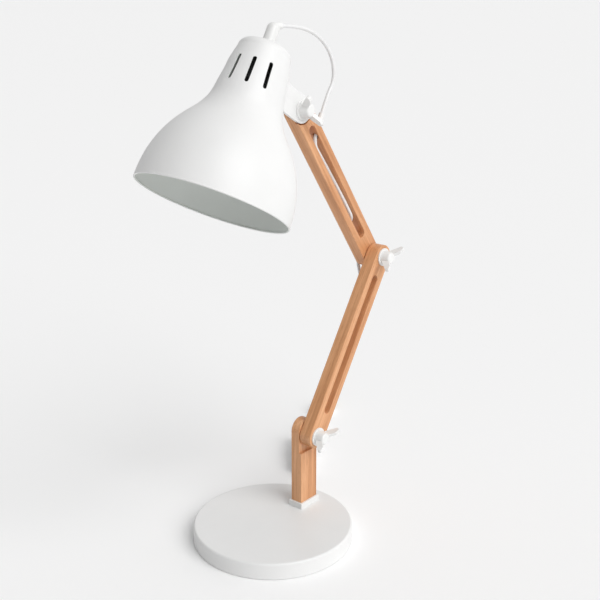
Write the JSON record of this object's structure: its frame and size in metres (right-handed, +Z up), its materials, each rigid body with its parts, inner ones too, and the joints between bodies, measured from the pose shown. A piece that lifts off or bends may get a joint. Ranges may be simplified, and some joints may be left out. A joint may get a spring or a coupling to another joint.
{
  "type": "swing-arm desk lamp",
  "caption": "Desk lamp with a bell shade on two slotted wooden arms, wing-nut pivots, a short post and a heavy round base.",
  "frame": {"origin": "centre of the underside of the round base, on the surface that the lamp stands on", "axes": "+Z up, +Y along every pivot pin away from the wing nuts, -X the way the shade reaches"},
  "size_m": [0.4959, 0.2837, 0.5653],
  "materials": {
    "brass": "satin",
    "enamel": "satin",
    "holder_plastic": "matte",
    "iron": "matte",
    "lead_plastic": "satin",
    "pad": "matte",
    "steel": "satin",
    "white_plastic": "satin",
    "wood": "satin"
  },
  "bodies": {
    "stand": {"base_cover": "enamel", "base_weight": "iron", "base_pad": "pad", "base_screws": "steel", "post_socket": "white_plastic", "post": "wood", "lower_bolt": "steel", "lower_rear_washer": "steel", "lower_spacer": "white_plastic", "tail_lead": "lead_plastic", "lead_hank": "lead_plastic", "hank_tie": "white_plastic", "switch_lead": "lead_plastic", "switch_base": "white_plastic", "switch_cover": "white_plastic", "plug_lead": "lead_plastic", "plug_body": "white_plastic", "plug_pins": "brass"},
    "lower_arm": {"lower_arm": "wood", "lower_front_washer": "white_plastic", "elbow_bolt": "steel", "elbow_spacer": "white_plastic", "elbow_front_washer": "white_plastic", "lower_lead": "lead_plastic"},
    "upper_arm": {"upper_arm": "wood", "elbow_rear_washer": "steel", "head_bolt": "steel", "head_rear_washer": "steel", "lead_boot": "white_plastic", "upper_lead": "lead_plastic", "elbow_lead": "lead_plastic"},
    "head": {"shade": "enamel", "shade_bracket": "enamel", "bracket_screws": "steel", "bracket_nuts": "steel", "head_front_washer": "white_plastic", "lamp_holder": "holder_plastic", "holder_ring": "holder_plastic", "holder_shell": "brass", "holder_contact": "brass", "lead_gland": "white_plastic", "head_lead": "lead_plastic"},
    "lower_nut": {"lower_wing_nut": "white_plastic"},
    "elbow_nut": {"elbow_wing_nut": "white_plastic"},
    "head_nut": {"head_wing_nut": "white_plastic"},
    "rocker": {"switch_rocker": "white_plastic"}
  },
  "joints": [
    {"name": "lower_pivot", "type": "hinge", "parent": "stand", "child": "lower_arm", "pos_m": [0.0557, 0, 0.1095], "axis": [0, 1, 0], "range_deg": [-40, 30], "deforming": ["tail_lead"]},
    {"name": "elbow", "type": "hinge", "parent": "lower_arm", "child": "upper_arm", "pos_m": [0.17715, 0, 0.29581], "axis": [0, 1, 0], "range_deg": [-45, 70], "deforming": ["elbow_lead"]},
    {"name": "head_tilt", "type": "hinge", "parent": "upper_arm", "child": "head", "pos_m": [0.048, 0, 0.47687], "axis": [0, 1, 0], "range_deg": [-25, 60], "deforming": ["head_lead"]},
    {"name": "lower_nut_turn", "type": "hinge", "parent": "stand", "child": "lower_nut", "pos_m": [0.0557, 0, 0.1095], "axis": [0, 1, 0], "continuous": true},
    {"name": "elbow_nut_turn", "type": "hinge", "parent": "lower_arm", "child": "elbow_nut", "pos_m": [0.17715, 0, 0.29581], "axis": [0, 1, 0], "continuous": true},
    {"name": "head_nut_turn", "type": "hinge", "parent": "upper_arm", "child": "head_nut", "pos_m": [0.048, 0, 0.47687], "axis": [0, 1, 0], "continuous": true},
    {"name": "switch_rock", "type": "hinge", "parent": "stand", "child": "rocker", "pos_m": [0.25114, 0.14428, 0.0118], "axis": [-0.4119, 0.9112, 0], "range_deg": [-14, 0]}
  ]
}
